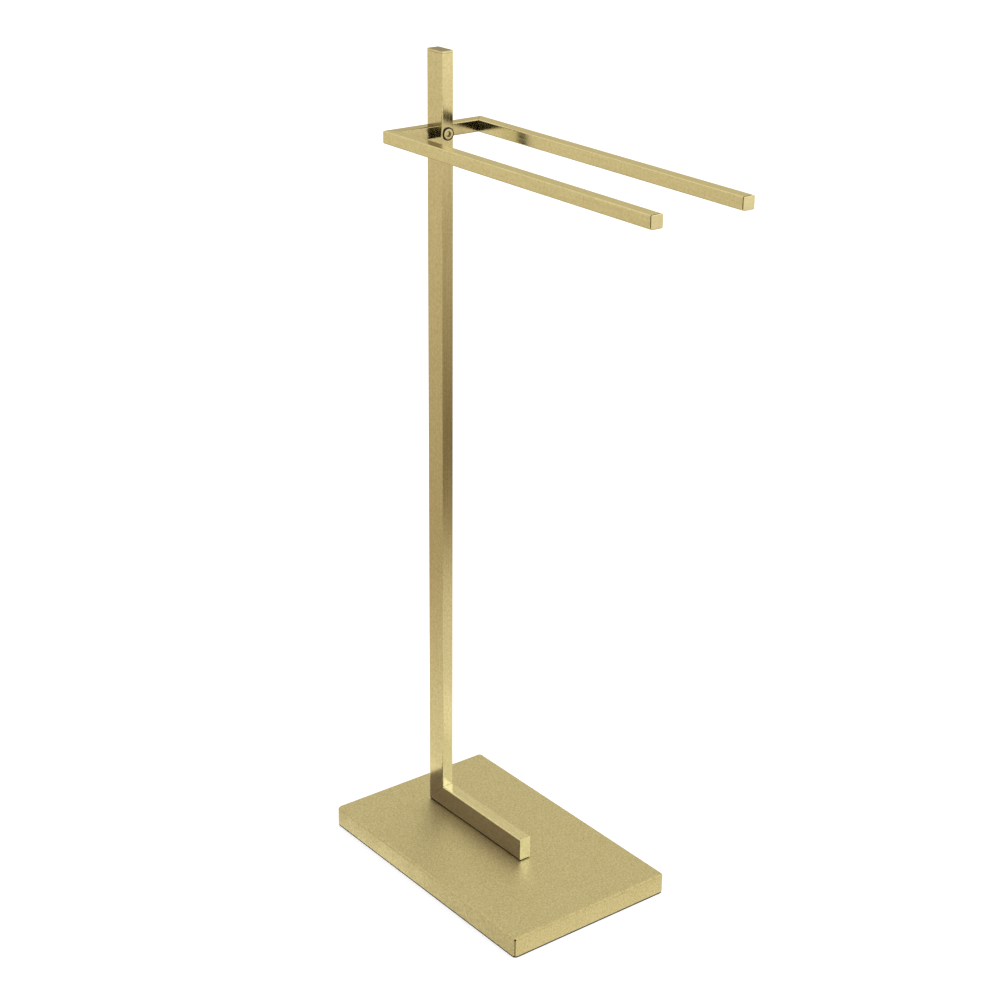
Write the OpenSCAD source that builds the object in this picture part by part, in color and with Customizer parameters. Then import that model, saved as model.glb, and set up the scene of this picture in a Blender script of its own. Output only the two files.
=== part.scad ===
// Freestanding towel stand: a weighted base, an L-shaped column and foot, and a U-shaped rail.
// The origin is the centre of the base's underside, on the floor.
// +X runs along the rail's arms to their free ends, +Y across the stand and +Z up.

/* [Base] */
// Length of the base, front to back
base_l = 320; // [280:1:400]
// Width of the base, side to side
base_w = 200; // [160:1:260]
// Height of the folded cover
cover_h = 21; // [20:0.5:30]
// Thickness of the cover's sheet
sheet_t = 1.5; // [1:0.1:2]
// Outer radius of the bends along the cover's top
bend_r = 3; // [2.5:0.1:4]
// Outer radius of the cover's four upright corners
corner_r = 4.5; // [4.2:0.1:6]
// Width of the open slit at each corner of the cover
slit_w = 0.9; // [0.6:0.1:1.4]
// Diameter of the relief hole where each slit meets the bend
relief_d = 2; // [1.6:0.1:3]
// Depth of the relief hole's centre under the top of the cover
relief_drop = 2.2; // [2:0.1:3.5]
// Thickness of the non-slip pad
pad_t = 2; // [0.8:0.1:2.5]
// Distance of the pad's edge inside the cover's outline
pad_inset = 0.5; // [0.3:0.05:2]
// Thickness of the bottom plate
bottom_t = 2; // [1.8:0.1:3]
// Gap between the bottom plate and the cover's skirt
bottom_clear = 0.3; // [0.2:0.05:0.5]
// Thickness of the steel ballast plate
ballast_t = 8; // [6:0.5:9]
// Diameter of the holes in the pad and bottom plate that a foot bolt goes in by
access_d = 14; // [13:0.5:18]
// Step from the bottom plate's access holes to the wider ones in the pad
access_step = 0.5; // [0.2:0.1:1]

/* [Column and foot] */
// Height of the stand over all
stand_h = 857; // [700:1:1000]
// Depth of the column's tube, front to back, which is also the height of the foot's
tube_d = 25; // [22:0.5:30]
// Width of the column's and foot's tube, side to side
tube_w = 14; // [14:0.5:20]
// Wall of the tube
tube_t = 1.2; // [1:0.1:1.4]
// Outer corner radius of the tube
tube_r = 1.5; // [1.3:0.1:2]
// Distance from the back of the base to the back of the column
column_setback = 47; // [30:1:70]
// Length of the foot from the back of the column to the foot's front end
foot_l = 163; // [120:1:200]
// Thickness of the gasket between the foot and the cover
gasket_t = 1; // [0.6:0.1:1.5]
// Distance of the gasket's edge inside the foot's outline
gasket_inset = 1; // [0.3:0.1:1.5]
// Thickness of the column's top cap
top_cap_t = 2; // [1.5:0.1:4]
// Thickness of the foot's end cap
foot_cap_t = 1.5; // [1:0.1:3]
// Width of the seam behind those two caps
tube_seam = 0.2; // [0.2:0.1:0.6]
// Length of the caps' spigots in the tube
spigot_l = 10; // [6:1:11]
// Gap at the mitred joints
mitre_gap = 0.2; // [0.1:0.05:0.4]
// Length of the corner key's upright leg above the foot's floor
key_rise = 70; // [50:1:90]
// Distance of the corner key's end in front of the rear foot bolt
key_end = 12; // [8:1:16]

/* [Rail] */
// Size of the rail's square tube
rail_s = 12.7; // [12:0.1:14]
// Wall of the rail's tube
rail_t = 1; // [0.8:0.1:1.1]
// Outer corner radius of the rail's tube
rail_r = 1.2; // [1.2:0.1:1.6]
// Width of the rail over both arms
rail_w = 118.5; // [100:0.5:160]
// Length of the rail from its back to the ends of its arms
rail_l = 390; // [300:1:450]
// Distance from the top of the column down to the top of the rail
rail_drop = 74; // [40:1:150]
// Gap above and below the cross bar in the column's notch
notch_clear = 0.15; // [0.1:0.05:0.3]
// Length of each leg of the rail's corner keys
rail_key_l = 30; // [22:1:36]
// Thickness of the arms' end caps
arm_cap_t = 1; // [0.8:0.1:2]
// Width of the seam behind the arms' end caps
arm_seam = 1; // [0.4:0.1:1.2]

/* [Fasteners] */
// Diameter of the rail screw's shank
rail_screw_d = 6; // [5:0.5:6]
// Diameter of the rail screw's flat head
rail_head_d = 10.6; // [9.6:0.2:11.4]
// Height of the rail screw's head
rail_head_h = 1; // [0.8:0.1:1.4]
// Width of the broken edge of that head
rail_head_break = 0.2; // [0.1:0.1:0.4]
// Hex key size of the rail screw
rail_key = 4; // [3:0.5:4]
// Depth of the rail screw's hex socket
rail_socket_l = 1.6; // [1.2:0.1:2.5]
// Width of the chamfer round the socket's mouth
rail_mouth_w = 0.6; // [0.2:0.1:0.8]
// Outer diameter of the cup washer round the rail screw's head
rail_washer_d = 13; // [12.4:0.2:13.8]
// Height of the cup washer's rim
rail_washer_h = 1.2; // [0.8:0.1:1.6]
// Thickness of the cup washer under the head
rail_washer_t = 0.4; // [0.3:0.1:0.6]
// Reach of the rail screw into the cross bar
rail_screw_reach = 7.7; // [5:0.1:9]
// Length of the nut block in the cross bar
rail_nut_l = 20; // [16:1:26]
// Diameter of the foot bolts' shanks
foot_bolt_d = 6; // [5:0.5:6]
// Diameter of the foot bolts' heads
foot_head_d = 10.5; // [9.5:0.5:11]
// Height of the foot bolts' heads
foot_head_h = 3.3; // [2.8:0.1:3.6]
// Height of the upright rim under those heads' domes
foot_head_rim = 0.5; // [0.3:0.1:1]
// Hex key size of the foot bolts
foot_key = 4; // [3:0.5:5]
// Reach of the foot bolts past the floor of the foot
foot_bolt_reach = 6.7; // [5:0.1:9]
// Distance of the rear foot bolt from the back of the column
rear_bolt_inset = 41; // [36:1:48]
// Distance of the front foot bolt from the foot's front end
front_bolt_inset = 25; // [24:1:40]
// Length of the nut block in the foot
foot_nut_l = 20; // [16:1:22]
// Height of the nut block in the foot
foot_nut_h = 10; // [10:0.5:14]
// Diameter of the washers
washer_d = 12; // [11.5:0.5:12.5]
// Thickness of the washers
washer_t = 1.6; // [1:0.1:2]
// Diameter of the bottom plate's screws
plate_screw_d = 3; // [2.5:0.5:4]
// Diameter of the countersunk heads on the bottom plate's screws
plate_head_d = 6; // [5.5:0.5:7]
// Height of the countersunk heads
plate_head_h = 1.65; // [1.4:0.05:1.7]
// Reach of the bottom plate's screws into the ballast plate
plate_screw_reach = 5.5; // [4:0.5:5.5]
// Distance of those screws from the ends of the base
plate_screw_inset_x = 25; // [15:1:40]
// Distance of those screws from the sides of the base
plate_screw_inset_y = 22; // [15:1:40]
// Outer diameter of the spacers round those screws
spacer_d = 8; // [7:0.5:12]

/* [Hidden] */
$fn = 64;

// Overrun of every cut past the face that it goes through
over = 1;
// Radial gap round a thread in its tapped hole
thread_clear = 0.2;
// Radial gap round a shank in a clearance hole
shank_clear = 0.3;
// Gap that keeps an inner piece off the tube's inner corner radius
corner_clear = 0.05;
// Gap round the spacer sleeve in the column
sleeve_clear = 0.3;
// Gap between the ballast plate and the start of the cover's bends
ballast_gap = 4;
// Depth of a hex socket as a share of the head's height
socket_share = 0.6;
// Room past the end of a screw in a blind hole
blind_room = 2;
// Gap round a countersunk head
sink_clear = 0.1;
// Gap round the rail screw's head in its cup washer
cup_clear = 0.1;

cover_z = pad_t;
cover_top = cover_z + cover_h;
bend_in = bend_r - sheet_t;
corner_in = corner_r - sheet_t;
plate_top = cover_z + bottom_t;
ballast_top = cover_top - sheet_t;
ballast_z = ballast_top - ballast_t;
ballast_l = base_l - 2 * (bend_r + ballast_gap);
ballast_w = base_w - 2 * (bend_r + ballast_gap);
plate_l = base_l - 2 * (sheet_t + bottom_clear);
plate_w = base_w - 2 * (sheet_t + bottom_clear);
plate_screw_x = base_l / 2 - plate_screw_inset_x;
plate_screw_y = base_w / 2 - plate_screw_inset_y;

foot_z = cover_top + gasket_t;
foot_floor = foot_z + tube_t;
column_x = column_setback - base_l / 2;
column_front = column_x + tube_d;
foot_end = column_x + foot_l;
foot_bolt_xs = [column_x + rear_bolt_inset, foot_end - front_bolt_inset];
foot_bolt_z = ballast_z - washer_t;
foot_bolt_l = foot_floor - foot_bolt_z + foot_bolt_reach;
tube_gap = tube_r - tube_t + corner_clear;
tube_in_d = tube_d - 2 * tube_t;
tube_in_w = tube_w - 2 * tube_t;
tube_fit_d = tube_in_d - 2 * tube_gap;
tube_fit_w = tube_in_w - 2 * tube_gap;

rail_z = stand_h - rail_drop - rail_s;
rail_mid = rail_z + rail_s / 2;
rail_y = rail_w / 2;
rail_end = column_x + rail_l;
bar_front = column_x + rail_s;
rail_gap = rail_r - rail_t + corner_clear;
rail_in = rail_s - 2 * rail_t;
rail_fit = rail_in - 2 * rail_gap;
rail_screw_l = rail_washer_t + column_front - bar_front + rail_screw_reach;
sleeve_d = tube_in_w - 2 * sleeve_clear;

brass = "#B9A96F";
steel = "#A9ABAD";
dark_rubber = "#2C2A28";

// Flat rectangle with rounded corners, centred
module rounded_rect(l, w, r) {
    square([l - 2 * r, w], center = true);
    square([l, w - 2 * r], center = true);
    for (sx = [-1, 1], sy = [-1, 1])
        translate([sx * (l / 2 - r), sy * (w / 2 - r)]) circle(r = r);
}

// Section of a rectangular tube, centred
module tube_section(l, w, r, t) {
    difference() {
        rounded_rect(l, w, r);
        rounded_rect(l - 2 * t, w - 2 * t, r - t);
    }
}

// Turns a section that is drawn across and up into a bar along +X
module along_x(l) {
    rotate([90, 0, 90]) linear_extrude(l) children();
}

// Block with rounded upright corners and rounded top edges, standing on z = 0
module rolled_block(l, w, h, corner, edge) {
    linear_extrude(h - edge) rounded_rect(l, w, corner);
    translate([0, 0, h - edge]) {
        linear_extrude(edge) rounded_rect(l - 2 * edge, w - 2 * edge, corner - edge);
        for (s = [-1, 1]) {
            translate([0, s * (w / 2 - edge), 0]) rotate([0, 90, 0])
                cylinder(h = l - 2 * corner, r = edge, center = true);
            translate([s * (l / 2 - edge), 0, 0]) rotate([90, 0, 0])
                cylinder(h = w - 2 * corner, r = edge, center = true);
        }
        for (sx = [-1, 1], sy = [-1, 1])
            translate([sx * (l / 2 - corner), sy * (w / 2 - corner), 0]) rotate_extrude() intersection() {
                translate([corner - edge, 0]) circle(r = edge);
                square([corner, edge]);
            }
    }
}

// Button head screw: the head's seat is at z = 0, the dome below it and the shank above
module button_screw(d, l, head_d, head_h, rim, key) {
    dome_h = head_h - rim;
    dome_r = (pow(head_d / 2, 2) + pow(dome_h, 2)) / (2 * dome_h);
    difference() {
        union() {
            cylinder(h = l, d = d);
            intersection() {
                translate([0, 0, -head_h]) cylinder(h = head_h, d = head_d);
                translate([0, 0, dome_r - head_h]) sphere(r = dome_r);
            }
        }
        translate([0, 0, -head_h - over])
            cylinder(h = head_h * socket_share + over, d = key / cos(30), $fn = 6);
    }
}

// Low screw with a flat head: the head's seat is at z = 0, its face below and the shank above
module low_screw(d, l, head_d, head_h, edge, key, socket_l, mouth_w) {
    key_d = key / cos(30);
    difference() {
        union() {
            cylinder(h = l, d = d);
            translate([0, 0, edge - head_h]) cylinder(h = head_h - edge, d = head_d);
            translate([0, 0, -head_h]) cylinder(h = edge, d1 = head_d - 2 * edge, d2 = head_d);
        }
        translate([0, 0, -head_h - over]) cylinder(h = socket_l + over, d = key_d, $fn = 6);
        translate([0, 0, -head_h - over])
            cylinder(h = mouth_w + over, d1 = key_d + 2 * (mouth_w + over), d2 = key_d);
    }
}

// Places what follows at each foot bolt
module at_foot_bolts() {
    for (x = foot_bolt_xs) translate([x, 0, 0]) children();
}

// Places what follows at each screw of the bottom plate
module at_plate_screws() {
    for (sx = [-1, 1], sy = [-1, 1]) translate([sx * plate_screw_x, sy * plate_screw_y, 0]) children();
}

// Clearance holes for the foot bolts between two heights
module foot_bolt_holes(z0, z1) {
    at_foot_bolts() translate([0, 0, z0 - over])
        cylinder(h = z1 - z0 + 2 * over, d = foot_bolt_d + 2 * shank_clear);
}

// Cutting block on one side of the mitre between the foot and the column: side is 1 above it, -1 below
module foot_mitre_cut(side) {
    reach = 2 * tube_d;
    translate([column_x, 0, foot_z]) rotate([0, -45, 0])
        translate([0, 0, side * (reach - mitre_gap) / 2])
            cube([2 * reach, tube_w + 2 * over, reach], center = true);
}

// Cutting block on one side of the rail's left mitre: side is 1 towards the cross bar, -1 towards the arm
module rail_mitre_cut(side) {
    reach = 2 * rail_s;
    translate([column_x, -rail_y, rail_mid]) rotate([0, 0, 45])
        translate([0, side * (reach - mitre_gap) / 2, 0])
            cube([2 * reach, reach, rail_s + 2 * over], center = true);
}

module non_slip_pad() {
    color(dark_rubber) difference() {
        linear_extrude(pad_t)
            rounded_rect(base_l - 2 * pad_inset, base_w - 2 * pad_inset, corner_r - pad_inset);
        at_foot_bolts() translate([0, 0, -over])
            cylinder(h = pad_t + 2 * over, d = access_d + 2 * access_step);
    }
}

module bottom_plate() {
    sink_d = plate_head_d + 2 * sink_clear;
    hole_d = plate_screw_d + 2 * sink_clear;
    color(steel) translate([0, 0, cover_z]) difference() {
        linear_extrude(bottom_t) rounded_rect(plate_l, plate_w, corner_in);
        at_foot_bolts() translate([0, 0, -over]) cylinder(h = bottom_t + 2 * over, d = access_d);
        at_plate_screws() {
            translate([0, 0, -over]) cylinder(h = bottom_t + 2 * over, d = hole_d);
            cylinder(h = plate_head_h, d1 = sink_d, d2 = hole_d);
        }
    }
}

module bottom_plate_screws() {
    shank_l = ballast_z - cover_z + plate_screw_reach;
    color(steel) translate([0, 0, cover_z]) at_plate_screws() {
        cylinder(h = shank_l, d = plate_screw_d);
        cylinder(h = plate_head_h, d1 = plate_head_d, d2 = plate_screw_d);
    }
}

module bottom_plate_spacers() {
    color(steel) translate([0, 0, plate_top]) at_plate_screws() difference() {
        cylinder(h = ballast_z - plate_top, d = spacer_d);
        translate([0, 0, -over])
            cylinder(h = ballast_z - plate_top + 2 * over, d = plate_screw_d + 2 * shank_clear);
    }
}

module ballast_plate() {
    color(steel) difference() {
        translate([0, 0, ballast_z]) linear_extrude(ballast_t) square([ballast_l, ballast_w], center = true);
        foot_bolt_holes(ballast_z, ballast_top);
        at_plate_screws() translate([0, 0, ballast_z - over])
            cylinder(h = plate_screw_reach + blind_room + over, d = plate_screw_d + 2 * thread_clear);
    }
}

// Open slit and relief hole at each corner of the cover, cut outwards along the diagonal
module corner_slits() {
    relief_z = cover_top - relief_drop;
    for (sx = [-1, 1], sy = [-1, 1])
        translate([sx * (base_l / 2 - corner_r), sy * (base_w / 2 - corner_r), 0])
            rotate([0, 0, atan2(sy, sx)]) {
                translate([0, -slit_w / 2, cover_z - over])
                    cube([corner_r + over, slit_w, relief_z - cover_z + over]);
                translate([0, 0, relief_z]) rotate([0, 90, 0]) cylinder(h = corner_r + over, d = relief_d);
            }
}

module base_cover() {
    color(brass) difference() {
        translate([0, 0, cover_z]) rolled_block(base_l, base_w, cover_h, corner_r, bend_r);
        translate([0, 0, cover_z - over])
            rolled_block(base_l - 2 * sheet_t, base_w - 2 * sheet_t, cover_h - sheet_t + over,
                corner_in, bend_in);
        corner_slits();
        foot_bolt_holes(ballast_top, cover_top);
    }
}

module foot_gasket() {
    gasket_l = foot_l - 2 * gasket_inset;
    color(dark_rubber) difference() {
        translate([column_x + foot_l / 2, 0, cover_top]) linear_extrude(gasket_t)
            square([gasket_l, tube_w - 2 * gasket_inset], center = true);
        foot_bolt_holes(cover_top, foot_z);
    }
}

module foot_tube() {
    color(brass) difference() {
        translate([column_x, 0, foot_z + tube_d / 2]) along_x(foot_l - foot_cap_t - tube_seam)
            tube_section(tube_w, tube_d, tube_r, tube_t);
        foot_mitre_cut(1);
        foot_bolt_holes(foot_z, foot_floor);
    }
}

module foot_nut_block() {
    color(steel) translate([foot_bolt_xs[1], 0, foot_floor]) difference() {
        linear_extrude(foot_nut_h) square([foot_nut_l, tube_fit_w], center = true);
        translate([0, 0, -over]) cylinder(h = foot_nut_h + 2 * over, d = foot_bolt_d + 2 * thread_clear);
    }
}

module foot_bolts() {
    color(steel) translate([0, 0, foot_bolt_z]) at_foot_bolts()
        button_screw(foot_bolt_d, foot_bolt_l, foot_head_d, foot_head_h, foot_head_rim, foot_key);
}

module foot_washers() {
    color(steel) translate([0, 0, foot_bolt_z]) at_foot_bolts() difference() {
        cylinder(h = washer_t, d = washer_d);
        translate([0, 0, -over]) cylinder(h = washer_t + 2 * over, d = foot_bolt_d + 2 * shank_clear);
    }
}

module foot_end_cap() {
    color(brass) translate([foot_end, 0, foot_z + tube_d / 2]) mirror([1, 0, 0]) {
        along_x(foot_cap_t) rounded_rect(tube_w, tube_d, tube_r);
        along_x(foot_cap_t + tube_seam + spigot_l) square([tube_fit_w, tube_fit_d], center = true);
    }
}

module column_corner_key() {
    key_x = column_x + tube_t + tube_gap;
    leg_h = tube_in_d - tube_gap;
    leg_l = foot_bolt_xs[0] + key_end - key_x;
    hole_h = foot_bolt_reach + blind_room;
    color(steel) difference() {
        translate([key_x, -tube_fit_w / 2, foot_floor]) {
            cube([leg_l, tube_fit_w, leg_h]);
            cube([tube_fit_d, tube_fit_w, key_rise]);
        }
        translate([foot_bolt_xs[0], 0, foot_floor - over])
            cylinder(h = hole_h + over, d = foot_bolt_d + 2 * thread_clear);
    }
}

module column_tube() {
    notch_z = rail_z - notch_clear;
    notch_h = rail_s + 2 * notch_clear;
    color(brass) difference() {
        translate([column_x + tube_d / 2, 0, foot_z]) linear_extrude(stand_h - top_cap_t - tube_seam - foot_z)
            tube_section(tube_d, tube_w, tube_r, tube_t);
        foot_mitre_cut(-1);
        translate([column_x - over, -tube_w / 2 - over, notch_z])
            cube([rail_s + over, tube_w + 2 * over, notch_h]);
        translate([column_front - tube_t - over, 0, rail_mid]) rotate([0, 90, 0])
            cylinder(h = tube_t + 2 * over, d = rail_screw_d + 2 * thread_clear);
    }
}

module column_top_cap() {
    color(brass) translate([column_x + tube_d / 2, 0, stand_h]) mirror([0, 0, 1]) {
        linear_extrude(top_cap_t) rounded_rect(tube_d, tube_w, tube_r);
        linear_extrude(top_cap_t + tube_seam + spigot_l) square([tube_fit_d, tube_fit_w], center = true);
    }
}

module rail_cross_bar() {
    color(brass) difference() {
        translate([column_x + rail_s / 2, -rail_y, rail_mid]) rotate([0, 0, 90])
            along_x(rail_w) tube_section(rail_s, rail_s, rail_r, rail_t);
        rail_mitre_cut(-1);
        mirror([0, 1, 0]) rail_mitre_cut(-1);
        translate([bar_front - rail_t - over, 0, rail_mid]) rotate([0, 90, 0])
            cylinder(h = rail_t + 2 * over, d = rail_screw_d + 2 * thread_clear);
    }
}

// Tube of the left arm
module arm_tube() {
    color(brass) difference() {
        translate([column_x, rail_s / 2 - rail_y, rail_mid]) along_x(rail_l - arm_cap_t - arm_seam)
            tube_section(rail_s, rail_s, rail_r, rail_t);
        rail_mitre_cut(1);
    }
}

module left_arm_tube() {
    arm_tube();
}

module right_arm_tube() {
    mirror([0, 1, 0]) arm_tube();
}

// Corner key of the left arm, resting on the floor of the rail's tubes
module rail_corner_key() {
    inset = rail_t + rail_gap;
    color(steel) translate([column_x + inset, inset - rail_y, rail_z + rail_t]) {
        cube([rail_key_l, rail_fit, rail_in - rail_gap]);
        cube([rail_fit, rail_key_l, rail_in - rail_gap]);
    }
}

module left_corner_key() {
    rail_corner_key();
}

module right_corner_key() {
    mirror([0, 1, 0]) rail_corner_key();
}

// End cap of the left arm
module arm_cap() {
    color(brass) translate([rail_end, rail_s / 2 - rail_y, rail_mid]) mirror([1, 0, 0]) {
        along_x(arm_cap_t) rounded_rect(rail_s, rail_s, rail_r);
        along_x(arm_cap_t + arm_seam + spigot_l) square([rail_fit, rail_fit], center = true);
    }
}

module left_arm_cap() {
    arm_cap();
}

module right_arm_cap() {
    mirror([0, 1, 0]) arm_cap();
}

module rail_nut_block() {
    color(steel) difference() {
        translate([bar_front - rail_t - rail_fit, -rail_nut_l / 2, rail_mid - rail_fit / 2])
            cube([rail_fit, rail_nut_l, rail_fit]);
        translate([bar_front - rail_t - rail_fit - over, 0, rail_mid]) rotate([0, 90, 0])
            cylinder(h = rail_fit + 2 * over, d = rail_screw_d + 2 * thread_clear);
    }
}

module rail_spacer_sleeve() {
    sleeve_l = column_front - tube_t - bar_front;
    color(steel) translate([bar_front, 0, rail_mid]) rotate([0, 90, 0]) difference() {
        cylinder(h = sleeve_l, d = sleeve_d);
        translate([0, 0, -over]) cylinder(h = sleeve_l + 2 * over, d = rail_screw_d + 2 * thread_clear);
    }
}

module rail_screw_washer() {
    color(dark_rubber) translate([column_front, 0, rail_mid]) rotate([0, 90, 0]) difference() {
        cylinder(h = rail_washer_h, d = rail_washer_d);
        translate([0, 0, rail_washer_t]) cylinder(h = rail_washer_h, d = rail_head_d + 2 * cup_clear);
        translate([0, 0, -over]) cylinder(h = rail_washer_h + over, d = rail_screw_d + 2 * thread_clear);
    }
}

module rail_screw() {
    color(brass) translate([column_front + rail_washer_t, 0, rail_mid]) rotate([0, -90, 0])
        low_screw(rail_screw_d, rail_screw_l, rail_head_d, rail_head_h, rail_head_break, rail_key,
            rail_socket_l, rail_mouth_w);
}

non_slip_pad();
bottom_plate();
bottom_plate_screws();
bottom_plate_spacers();
ballast_plate();
base_cover();
foot_gasket();
foot_tube();
foot_nut_block();
foot_bolts();
foot_washers();
foot_end_cap();
column_corner_key();
column_tube();
column_top_cap();
rail_cross_bar();
left_arm_tube();
right_arm_tube();
left_corner_key();
right_corner_key();
left_arm_cap();
right_arm_cap();
rail_nut_block();
rail_spacer_sleeve();
rail_screw_washer();
rail_screw();
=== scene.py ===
import logging
import math
from collections.abc import Iterable
from dataclasses import dataclass, field
from enum import Enum

import bmesh
import bpy
from bmesh.types import BMEdge, BMesh
from bpy.types import Material, NodeSocket, NodeTree
from mathutils import Matrix, Vector


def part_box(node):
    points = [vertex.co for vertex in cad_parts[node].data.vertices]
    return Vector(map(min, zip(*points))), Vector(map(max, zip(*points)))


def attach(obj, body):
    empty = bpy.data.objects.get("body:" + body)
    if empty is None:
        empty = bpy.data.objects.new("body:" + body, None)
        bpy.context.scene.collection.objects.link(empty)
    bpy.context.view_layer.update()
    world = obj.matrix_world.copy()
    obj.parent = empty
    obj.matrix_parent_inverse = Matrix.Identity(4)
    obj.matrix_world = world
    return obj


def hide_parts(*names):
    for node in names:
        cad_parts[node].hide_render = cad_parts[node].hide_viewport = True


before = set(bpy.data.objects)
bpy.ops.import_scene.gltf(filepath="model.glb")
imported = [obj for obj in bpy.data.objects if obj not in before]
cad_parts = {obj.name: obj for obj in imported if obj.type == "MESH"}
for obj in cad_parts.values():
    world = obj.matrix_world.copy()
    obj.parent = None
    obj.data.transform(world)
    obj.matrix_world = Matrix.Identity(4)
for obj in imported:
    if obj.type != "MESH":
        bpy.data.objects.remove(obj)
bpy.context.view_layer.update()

LOG = logging.getLogger("towel_stand")

# One millimetre in the scene's metres
MM = 0.001
# The one body of a part that has no joints
BODY = "root"
# Overrun of every cutter past the face that it goes through
OVER = 1.0 * MM
# Vertices nearer to each other than this become one after a cut
WELD = 0.001 * MM
# Room for rounding where a face is told apart by its place
SLACK = 0.05 * MM
# Edges that turn by more than this count as sharp
SHARP_ANGLE = math.radians(35)
# Least cosine of an edge along a way and of a face that looks along it, and greatest of a face beside it
ALONG, FACING, BESIDE = 0.999, 0.9, 0.3
# Facets of a broken edge, of a tube's rounded edge, and of a circle
BREAK_FACETS, ROUND_FACETS, CIRCLE_FACETS = 2, 5, 48
# Gap in a mitre, and size of the block that cuts it, in heights of the tube
MITRE_GAP, MITRE_SIZE = 0.2 * MM, 8.0
# Ends of the usual range of the noise texture
NOISE_LOW, NOISE_HIGH = 0.3, 0.7

# Linear red, green, blue and alpha
Colour = tuple[float, float, float, float]
# Pairs of a distance on the floor, in metres, and its brightness there in reflections, where one is white
Tones = tuple[tuple[float, float], ...]
# Start and end of a soft step, and where it matters the results before and after it
Step = tuple[float, ...]
# What a finish lays out for its shader
Patterns = tuple[dict, NodeSocket, NodeSocket, NodeSocket | None]


class Axis(Enum):
    """Direction in which a tube runs and in which it was brushed."""

    X = 0
    Y = 1
    Z = 2

    def unit(self) -> Vector:
        """Gives the unit vector along the axis."""
        return Vector([1.0 if i == self.value else 0.0 for i in range(3)])


class Slot(Enum):
    """Material slots of the record, which each finished piece keeps with it."""

    GRAINED_BRASS = "grained_brass"
    BRUSHED_BRASS = "brushed_brass"
    TURNED_BRASS = "turned_brass"
    RUBBER = "rubber_pad"


def linear(hex_code: str) -> Colour:
    """Turns an sRGB hex colour into linear values.

    Args:
        hex_code: Colour such as "#CEBF8B".

    Returns:
        Linear red, green and blue, and an alpha of one.
    """
    parts = [int(hex_code[i:i + 2], 16) / 255 for i in (1, 3, 5)]
    lit = [p / 12.92 if p <= 0.04045 else ((p + 0.055) / 1.055) ** 2.4 for p in parts]
    return (*lit, 1.0)


def add_node(tree: NodeTree, kind: str, values: dict | None = None, links: dict | None = None,
             **settings: object) -> bpy.types.Node:
    """Adds a node with its settings, socket values and links.

    Args:
        tree: Node tree that gets the node.
        kind: Blender's name of the node type.
        values: Value of each input socket, by name or index.
        links: Output socket that feeds each input socket, by name or index.
        **settings: Properties of the node itself.

    Returns:
        The new node.
    """
    node = tree.nodes.new(kind)
    for name, value in settings.items():
        setattr(node, name, value)
    for socket, value in (values or {}).items():
        node.inputs[socket].default_value = value
    for socket, source in (links or {}).items():
        tree.links.new(source, node.inputs[socket])
    return node


def new_tree(name: str) -> tuple[Material, NodeTree]:
    """Makes an empty node material.

    Args:
        name: Name of the material.

    Returns:
        The material and its cleared node tree.
    """
    material = bpy.data.materials.new(name)
    material.use_nodes = True
    material.node_tree.nodes.clear()
    return material, material.node_tree


def noise(tree: NodeTree, cell: Iterable[float], detail: float, roughness: float) -> NodeSocket:
    """Smooth noise with a real cell size.

    Args:
        tree: Node tree of the material.
        cell: Size of a cell along X, Y and Z, in metres.
        detail: Number of finer octaves.
        roughness: Strength of each finer octave.

    Returns:
        Socket with the noise.
    """
    point = add_node(tree, "ShaderNodeTexCoord").outputs["Object"]
    scale = [1 / side for side in cell]
    cells = add_node(tree, "ShaderNodeMapping", {"Scale": scale}, {"Vector": point}).outputs["Vector"]
    values = {"Scale": 1.0, "Detail": detail, "Roughness": roughness}
    return add_node(tree, "ShaderNodeTexNoise", values, {"Vector": cells}).outputs["Fac"]


def spread(source: NodeSocket, low: float, high: float) -> NodeSocket:
    """Stretches noise to a range of values.

    Args:
        source: Noise.
        low: Value at its low end.
        high: Value at its high end.

    Returns:
        Socket with the new values.
    """
    values = {"From Min": NOISE_LOW, "From Max": NOISE_HIGH, "To Min": low, "To Max": high}
    return add_node(source.id_data, "ShaderNodeMapRange", values, {"Value": source}).outputs["Result"]


def smooth_step(source: NodeSocket, start: float, end: float, low: float = 0.0,
                high: float = 1.0) -> NodeSocket:
    """Turns a value into a soft step.

    Args:
        source: Value that drives the step.
        start: Value at which the step starts.
        end: Value at which it ends.
        low: Result before the step.
        high: Result after it.

    Returns:
        Socket with the step.
    """
    values = {"From Min": start, "From Max": end, "To Min": low, "To Max": high}
    return add_node(source.id_data, "ShaderNodeMapRange", values, {"Value": source},
                    interpolation_type="SMOOTHSTEP").outputs["Result"]


def times(*factors: NodeSocket) -> NodeSocket:
    """Multiplies values.

    Args:
        *factors: Sockets with the values.

    Returns:
        Socket with the product.
    """
    product = factors[0]
    for factor in factors[1:]:
        product = add_node(factor.id_data, "ShaderNodeMath", links={0: product, 1: factor},
                           operation="MULTIPLY").outputs["Value"]
    return product


def mix(share: NodeSocket, low: Colour | NodeSocket, high: Colour | NodeSocket) -> NodeSocket:
    """Mixes two colours, each of them fixed or from a socket.

    Args:
        share: Share of the second colour.
        low: Colour at zero.
        high: Colour at one.

    Returns:
        Socket with the colour.
    """
    values, links = {}, {0: share}
    for socket, colour in ((6, low), (7, high)):
        (values if isinstance(colour, tuple) else links)[socket] = colour
    return add_node(share.id_data, "ShaderNodeMix", values, links, data_type="RGBA").outputs[2]


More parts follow.
